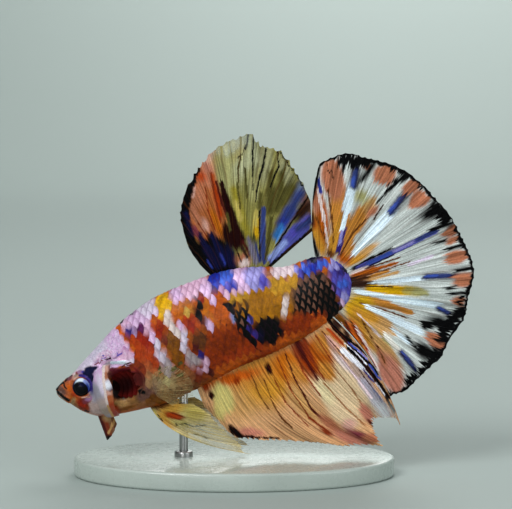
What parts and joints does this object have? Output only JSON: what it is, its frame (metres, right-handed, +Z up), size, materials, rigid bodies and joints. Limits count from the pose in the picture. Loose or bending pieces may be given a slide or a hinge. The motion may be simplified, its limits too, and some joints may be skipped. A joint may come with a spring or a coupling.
{
  "type": "betta fish model on a display stand",
  "caption": "Life-size halfmoon plakat betta in koi colours, flaring its fins and gill covers, on a plain oval display stand.",
  "frame": {"origin": "centre of the bounding box, on the floor under the stand", "axes": "+X from the snout towards the tail, +Y from the fish's left side to its right, +Z up"},
  "size_m": [0.0676, 0.03, 0.0556],
  "materials": {
    "pearl_skin": "gloss, pearl white with lavender pink",
    "orange_flank": "gloss, orange brown scales",
    "blue_black_tail": "gloss, blue and black netted scales",
    "olive_dorsal": "satin, translucent olive, orange and black",
    "white_caudal": "satin, translucent, white and orange rays with a black margin",
    "amber_anal": "satin, amber and cream with brown rays",
    "clear_pectoral": "satin, nearly clear with dark rays",
    "yellow_pelvic": "satin, yellow olive",
    "gill_red": "gloss, dark maroon",
    "beard_brown": "satin, dark brown",
    "eye_black": "polished",
    "stand_pale": "polished, pale grey green",
    "stand_steel": "brushed"
  },
  "bodies": {
    "root": {"head": "pearl_skin", "lower_jaw": "pearl_skin", "gill_cover_left": "pearl_skin", "gill_cover_right": "pearl_skin", "gills_left": "gill_red", "gills_right": "gill_red", "beard_left": "beard_brown", "beard_right": "beard_brown", "eye_left": "eye_black", "eye_right": "eye_black", "trunk_front": "pearl_skin", "trunk_middle": "orange_flank", "trunk_rear": "orange_flank", "tail_root": "blue_black_tail", "dorsal_fin": "olive_dorsal", "caudal_fin": "white_caudal", "anal_fin": "amber_anal", "pectoral_fin_left": "clear_pectoral", "pectoral_fin_right": "clear_pectoral", "pelvic_fin_left": "yellow_pelvic", "pelvic_fin_right": "yellow_pelvic", "stand_base": "stand_pale", "stand_rod": "stand_steel"}
  },
  "joints": []
}
